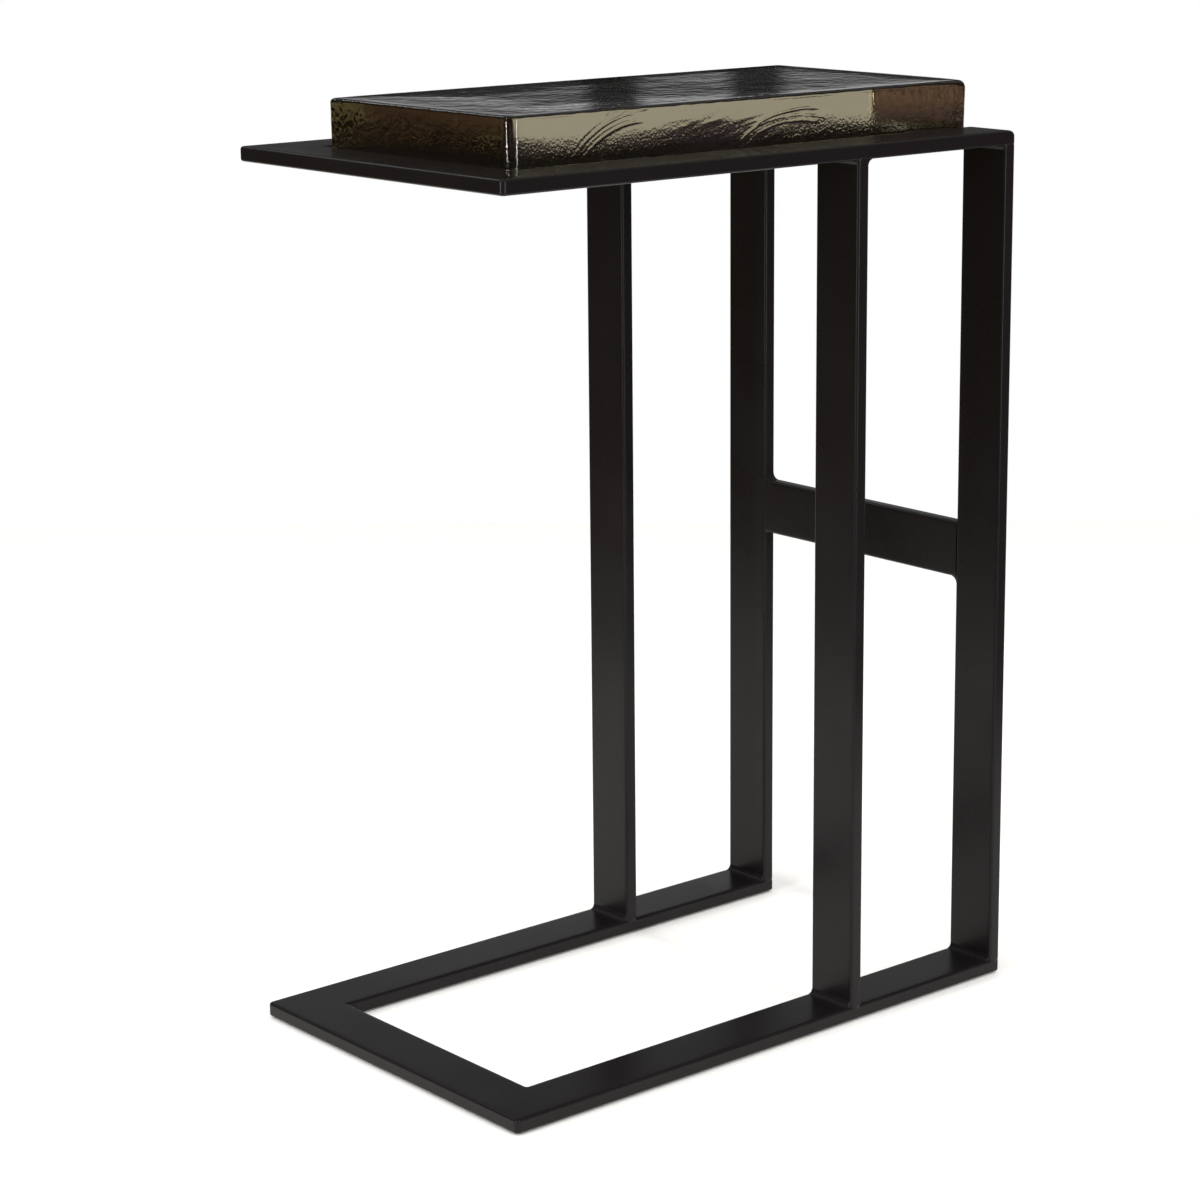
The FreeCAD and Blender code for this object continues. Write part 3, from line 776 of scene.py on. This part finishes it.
# Folds where the melt chilled against the right-hand side of the mould: centre along and up, half lengths
# along, half height as a share of the half length, first and last angle.
CHILL_FOLDS = (
    ((-76, 561), (66, 69, 72, 76), 1.0, (90, 134)),
    ((57, 600), (44, 48, 52), 0.433, (62, 168)),
    ((66, 598), (62,), 0.46, (80, 136)),
)


def work_surface(points, settings):
    """Give the slab its cast skin, and say how strong the mould grit is at each point.

    The top is dished and rippled. The sides have pebbles, streaks and the folds of the chilled melt.
    """
    low, high = SLAB_LOW, SLAB_HIGH
    middle, half = (low + high) / 2, (high - low) / 2
    x, y, z = points.T.copy()
    gap = np.minimum(half[0] - np.abs(x - middle[0]), half[1] - np.abs(y - middle[1]))
    # The left-hand rim slopes in as a flat facet, wide at the front and narrow at the rear, down to a crease.
    facet = np.interp(x, (-150, 75, 200), (56, 19, 13))
    left_gap = middle[1] + half[1] - y
    other_gap = np.minimum(half[0] - np.abs(x - middle[0]), (y - middle[1] + half[1]) * 1.2)
    depth = settings.dish / MM * facet / facet.max()
    sunk = np.minimum(smooth(other_gap / depth, 0, 69), np.clip(left_gap / facet, 0, 1))
    top = smooth(z, high[2] - 0.6, high[2] - 0.02)
    dish = depth * sunk
    for (along, across), spread, fall in SUNK_SPOTS:
        dish = dish + fall * np.exp(-((x - along) ** 2 + (y - across) ** 2) / (2 * spread ** 2))
    level = np.zeros(len(x))
    flow = (0.55 * wander(x / 6, y / 4, level, 3.1) + 0.5 * wander(x / 13, y / 8, level, 7.7)
            + 0.9 * wander(x / 40, y / 30, level, 1.3))
    ripple = settings.ripple / MM * smooth(gap, 2, 16) * (1.2 + flow)
    points[:, 2] -= (dish + np.maximum(0, ripple)) * top

    side_x, side_y = (smooth(np.abs(place - centre), reach - 4, reach - 2.6)
                      for place, centre, reach in zip((x, y), middle, half))
    right = (y < middle[1]) * 1.0
    belt = smooth(z, low[2] + 0.2, low[2] + 2.5) * (1 - smooth(z, high[2] - 4, high[2] - 1))
    foot = 1 - smooth(z, low[2] + 9, high[2] - 7)
    skin = (0.10 * wander(x / 35, y / 35, z / 24, 11.0)
            + settings.pebble / MM * (0.3 + foot) * wander(x / 3, y / 3, z / 3, 13.0))
    # The melt ran along the right-hand side at a slight climb and left streaks in its middle.
    climb = math.radians(10)
    along = x * math.cos(climb) + z * math.sin(climb)
    across = z * math.cos(climb) - x * math.sin(climb)
    middle_part = np.exp(-((x - 10) / 75) ** 2)
    streaks = (0.09 * wander(along / 26, across / 2.4, y, 19.0)) * middle_part * right
    # The ends, and the rear of the right-hand side, are crinkled upright.
    rear = smooth(x, 118, 150) * right
    # They are roughest round the rear right corner.
    corner = smooth(x, 160, 195) * smooth(-y, 30, 85)
    ends = np.maximum(side_x, 1.1 * rear) + 0.7 * corner * right
    crinkle = (0.09 * wander(x / 5, y / 5, z / 20, 17.0) + 0.05 * wander(x / 4, y / 4, z / 5, 31.0)) * ends
    # Next to the front, the left-hand side is crinkled finely and both ways.
    turn_in = smooth(-x, 110, 135) * (1 - side_x) * (1 - right)
    crinkle = crinkle + 0.26 * wander(x / 2.4, y / 2.4, z / 3.4, 37.0) * turn_in
    fold_width, fold_fade = 0.75, 8
    folds = np.zeros(len(x))
    for (along, up), reaches, squash, (first, last) in CHILL_FOLDS:
        rise = (z - up) / squash
        turn = np.degrees(np.arctan2(rise, x - along))
        fade = smooth(turn, first - fold_fade, first + fold_fade)
        fade = fade * (1 - smooth(turn, last - fold_fade, last + fold_fade))
        for number, reach in enumerate(reaches):
            away = (np.hypot(x - along, rise) - reach) * squash ** 0.5
            folds += np.exp(-(away / fold_width) ** 2) * fade * (1 - 0.35 * (number % 2))
    push = (skin + streaks + crinkle - 0.2 - settings.chill / MM * folds * right) * belt
    points[:, 0] += np.sign(x - middle[0]) * push * side_x
    points[:, 1] += np.sign(y - middle[1]) * push * side_y

    sides = 1 - smooth(z, high[2] - 3, high[2] - 1.5)
    front = smooth(middle[0] - x, half[0] - 9, half[0] - 5)
    grit = np.maximum.reduce([0.04 + 0.96 * foot, 0.3 * front, 0.3 * rear, 0.3 * middle_part * right])
    return points, grit * sides


class SIDETABLE_OT_glass(bpy.types.Operator):
    """Build the cast glass slab"""

    bl_idname = "sidetable.glass"
    bl_label = "Glass slab"

    def execute(self, context):
        settings = context.scene.side_table_glass
        points, faces = slab_mesh(settings)
        points, grit = work_surface(points, settings)
        slab = add_piece("cast_glass_slab", points.tolist(), faces, cast_bronze_glass(settings), "glass",
                         ("glass_slab",), "bronze_glass", 80)
        slab.data.attributes.new("grit", "FLOAT", "POINT").data.foreach_set("value", grit)
        slab.data.materials.append(black_back_enamel())
        for face in slab.data.polygons:
            face.material_index = int(face.normal.z < -0.9)
        return {"FINISHED"}


def turned(profile, centre, count):
    """Points and faces of a turned piece: (radius, height) pairs from its underside to its top."""
    points = []
    for radius, up in profile:
        for spot in range(count):
            turn = 2 * math.pi * spot / count
            points.append((centre[0] + radius * math.cos(turn), centre[1] + radius * math.sin(turn),
                           centre[2] + up))
    return points, tube_faces(len(profile), count)


def island_centres(node):
    """Plan centres of a node's separate solids, in millimetres."""
    shell = bmesh.new()
    shell.from_mesh(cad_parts[node].data)
    bmesh.ops.remove_doubles(shell, verts=shell.verts, dist=1e-6)
    left = set(shell.verts)
    centres = []
    while left:
        todo, island = [next(iter(left))], set()
        while todo:
            vert = todo.pop()
            if vert in island:
                continue
            island.add(vert)
            todo.extend(edge.other_vert(vert) for edge in vert.link_edges)
        left -= island
        spots = np.array([vert.co for vert in island]) / MM
        centres.append((spots.min(0) + spots.max(0)) / 2)
    shell.free()
    return sorted(tuple(centre) for centre in centres)


def add_turned(name, node, profile, count, material, slot, sharp):
    """One piece of like turned shells, one at each of a node's separate solids."""
    floor = node_box(node)[0][2]
    shells = [turned(profile, (x, y, floor), count) for x, y, _ in island_centres(node)]
    add_piece(name, *joined(shells), material, "frame", (node,), slot, sharp)


class SIDETABLE_OT_buttons(bpy.types.Operator):
    """Build the silicone buttons between the sheet and the glass"""

    bl_idname = "sidetable.buttons"
    bl_label = "Silicone buttons"

    def execute(self, context):
        low, high = node_box("glass_bumpers")
        thick = high[2] - low[2]
        foot = 6.0
        # A low dome with a small eased edge at its foot.
        profile = [(foot - 0.15, 0.0), (foot, 0.15), (foot - 0.1, 0.5), (foot * 0.93, 0.95),
                   (foot * 0.8, 1.3), (foot * 0.6, 1.5), (foot * 0.35, thick)]
        add_turned("silicone_buttons", "glass_bumpers", profile, 40, clear_silicone(), "clear_silicone", 60)
        return {"FINISHED"}


class SIDETABLE_OT_floor_pads(bpy.types.Operator):
    """Build the felt pads under the base"""

    bl_idname = "sidetable.floor_pads"
    bl_label = "Floor pads"

    def execute(self, context):
        low, high = node_box("floor_pads")
        thick = high[2] - low[2]
        edge = 11.0
        # A punched disc, worn round at its foot.
        profile = [(edge - 0.7, 0.0), (edge - 0.2, 0.12), (edge, 0.35), (edge - 0.05, 0.8),
                   (edge - 0.1, thick)]
        add_turned("felt_floor_pads", "floor_pads", profile, 56, pressed_black_felt(), "black_felt", 50)
        return {"FINISHED"}


def studio_world(settings):
    """Surroundings: a dim room that the table mirrors, and plain white to the camera."""
    world = bpy.data.worlds.new("studio_room")
    world.use_nodes = True
    world.node_tree.nodes.clear()
    add = partial(add_node, world.node_tree)
    way = add("ShaderNodeTexCoord").outputs["Generated"]
    height = add("ShaderNodeSeparateXYZ", {"Vector": way}).outputs["Z"]
    aside = add("ShaderNodeVectorMath", operation="DOT_PRODUCT", inputs={
        0: way, 1: (math.cos(settings.azimuth), math.sin(settings.azimuth), 0)})
    sides = add("ShaderNodeMapRange", {"Value": aside, "From Min": -0.5, "From Max": 0.5})
    above = add("ShaderNodeMapRange", interpolation_type="SMOOTHSTEP", inputs={
        "Value": height, "From Min": 0.0, "From Max": 0.12})
    # Warm wood on the left and a cooler wall on the right, dark above the horizon.
    walls = add("ShaderNodeMix", data_type="RGBA", inputs={
        "Factor": sides, 6: linear("#5f4c3a"), 7: linear("#6e5b67")})
    upright = add("ShaderNodeVectorMath", operation="MULTIPLY", inputs={0: way, 1: (7.0, 7.0, 3.0)})
    things = add("ShaderNodeTexNoise", {"Vector": upright, "Scale": 1.0, "Detail": 1.0})
    uneven = add("ShaderNodeMapRange", {
        "Value": things, "From Min": 0.42, "From Max": 0.58, "To Min": 0.3, "To Max": 1.8})
    dim = add("ShaderNodeVectorMath", operation="SCALE", inputs={0: walls, "Scale": uneven})
    room = add("ShaderNodeMix", data_type="RGBA", inputs={"Factor": above, 6: dim, 7: linear("#383838")})
    # A soft grey ceiling, which the glass mirrors when it is seen from above.
    overhead = add("ShaderNodeMapRange", interpolation_type="SMOOTHSTEP", inputs={
        "Value": height, "From Min": 0.28, "From Max": 0.70})
    clouds = add("ShaderNodeMapRange", {
        "Value": things, "From Min": 0.35, "From Max": 0.65, "To Min": 0.6, "To Max": 1.4})
    ceiling = add("ShaderNodeVectorMath", operation="SCALE", inputs={
        0: linear("#95918e")[:3], "Scale": clouds})
    room = add("ShaderNodeMix", data_type="RGBA", inputs={"Factor": overhead, 6: room, 7: ceiling})
    seen = add("ShaderNodeLightPath").outputs["Is Camera Ray"]
    colour = add("ShaderNodeMix", data_type="RGBA", inputs={
        "Factor": seen, 6: room, 7: (1.0, 1.0, 1.0, 1)})
    light = add("ShaderNodeBackground", {"Color": colour})
    add("ShaderNodeOutputWorld", {"Surface": light})
    return world


def add_panel(name, place, aim, size, radiance):
    """Soft flat light, as bright as a white sheet of that radiance, not seen by the camera itself."""
    panel = bpy.data.lights.new(name, "AREA")
    panel.shape = "RECTANGLE"
    panel.size, panel.size_y = size
    panel.energy = radiance * math.pi * size[0] * size[1]
    lamp = bpy.data.objects.new(name, panel)
    lamp.location = place
    lamp.rotation_euler = (Vector(aim) - Vector(place)).to_track_quat("-Z", "Y").to_euler()
    lamp.visible_camera = False
    bpy.context.scene.collection.objects.link(lamp)


class SIDETABLE_OT_stage(bpy.types.Operator):
    """Build the floor, the lights and the camera"""

    bl_idname = "sidetable.stage"
    bl_label = "Stage"

    def execute(self, context):
        scene = context.scene
        settings = scene.side_table_stage
        behind = Vector((-math.sin(settings.azimuth), math.cos(settings.azimuth), 0))
        aside = Vector((behind.y, -behind.x, 0))
        half_outline = [(-900, 500), (-600, 800), (300, 850), (1550, 1300)]
        outline = [*((along, -across) for along, across in half_outline), *reversed(half_outline)]
        points = [tuple(behind * along + aside * across) for along, across in outline]
        add_piece("floor_sweep", points, [tuple(range(len(points)))], white_paper_sweep(settings))

        sun = bpy.data.lights.new("overhead_diffuser", "SUN")
        sun.energy = settings.sky_strength
        sun.angle = math.pi
        lamp = bpy.data.objects.new("overhead_diffuser", sun)
        # The overhead silk only fills: reflections and refraction don't show it.
        lamp.visible_glossy = False
        lamp.visible_transmission = False
        scene.collection.objects.link(lamp)
        # A glowing sheet behind the table, its light painted to die away upwards. Two black nets in front of it
        # leave dark patches in the glass top.
        gap, top = settings.panel_gap / MM, settings.panel_height / MM
        reach = gap * 0.8
        net_foot, net_gap = settings.net_lift / MM, 20
        screens = (("rear_sheet", gap, (-reach, reach), 0, glowing_backdrop(settings)),
                   ("left_flag", gap - net_gap, (-88, 14), net_foot, black_flag_net()),
                   ("right_flag", gap - net_gap, (96, 200), net_foot, black_flag_net()))
        for name, away, (start, end), low, material in screens:
            corners = [behind * away + aside * across + Vector((0, 0, up))
                       for across, up in ((start, low), (end, low), (end, top), (start, top))]
            screen = add_piece(name, corners, [(0, 1, 2, 3)], material)
            screen.visible_camera = False
            screen.visible_shadow = False
        strip_size = (0.12, 1.8)
        for name, place in (("left_strip", (-1.9, -0.05, 0.95)), ("right_strip", (0.0, -1.9, 0.95))):
            add_panel(name, place, (0, 0, place[2]), strip_size, settings.strip_radiance)
        # A soft box high at the rear left draws thin lines along the rolled edges.
        add_panel("rear_soft_box", (-0.3, 1.7, 2.0), (0, 0, 0.6), (0.9, 0.5), settings.box_radiance)

        lens = bpy.data.cameras.new("camera")
        lens.lens = settings.lens
        lens.sensor_width = 36
        lens.shift_x, lens.shift_y = settings.shift
        lens.clip_start, lens.clip_end = 0.05, 60
        camera = bpy.data.objects.new("camera", lens)
        level = math.cos(settings.elevation)
        back = Vector((math.sin(settings.azimuth) * level, -math.cos(settings.azimuth) * level,
                       math.sin(settings.elevation)))
        right = Vector((0, 0, 1)).cross(back).normalized()
        up = back.cross(right)
        turn, lean = math.cos(settings.roll), math.sin(settings.roll)
        axes = Matrix((right * turn + up * lean, up * turn - right * lean, back)).transposed()
        camera.matrix_world = Matrix.Translation(settings.camera_place) @ axes.to_4x4()
        scene.collection.objects.link(camera)
        scene.camera = camera
        scene.world = studio_world(settings)
        scene.view_settings.view_transform = "Standard"
        scene.cycles.glossy_bounces = 12
        return {"FINISHED"}


OPERATORS = (SIDETABLE_OT_u_frames, SIDETABLE_OT_posts, SIDETABLE_OT_post_welds, SIDETABLE_OT_seams,
             SIDETABLE_OT_corner_welds, SIDETABLE_OT_support_plate, SIDETABLE_OT_glass, SIDETABLE_OT_buttons,
             SIDETABLE_OT_floor_pads, SIDETABLE_OT_stage)


class SIDETABLE_PT_panel(bpy.types.Panel):
    """Lists the steps that build the table"""

    bl_idname = "SIDETABLE_PT_panel"
    bl_label = "Side table"
    bl_space_type = "VIEW_3D"
    bl_region_type = "UI"
    bl_category = "Side Table"

    def draw(self, context):
        for operator in OPERATORS:
            self.layout.operator(operator.bl_idname)


SETTINGS = {"side_table_frame": FrameSettings, "side_table_glass": GlassSettings,
            "side_table_stage": StageSettings}


def register():
    """Add the settings, the operators and the panel."""
    for name, group in SETTINGS.items():
        bpy.utils.register_class(group)
        setattr(bpy.types.Scene, name, bpy.props.PointerProperty(type=group))
    for part in (*OPERATORS, SIDETABLE_PT_panel):
        bpy.utils.register_class(part)


def unregister():
    """Take them away again."""
    for part in (SIDETABLE_PT_panel, *reversed(OPERATORS)):
        bpy.utils.unregister_class(part)
    for name, group in SETTINGS.items():
        delattr(bpy.types.Scene, name)
        bpy.utils.unregister_class(group)


def main():
    """Build everything in order."""
    register()
    bpy.ops.sidetable.u_frames()
    bpy.ops.sidetable.posts()
    bpy.ops.sidetable.post_welds()
    bpy.ops.sidetable.seams()
    bpy.ops.sidetable.corner_welds()
    bpy.ops.sidetable.support_plate()
    bpy.ops.sidetable.glass()
    bpy.ops.sidetable.buttons()
    bpy.ops.sidetable.floor_pads()
    bpy.ops.sidetable.stage()
    bpy.context.view_layer.update()


if __name__ == "__main__":
    main()
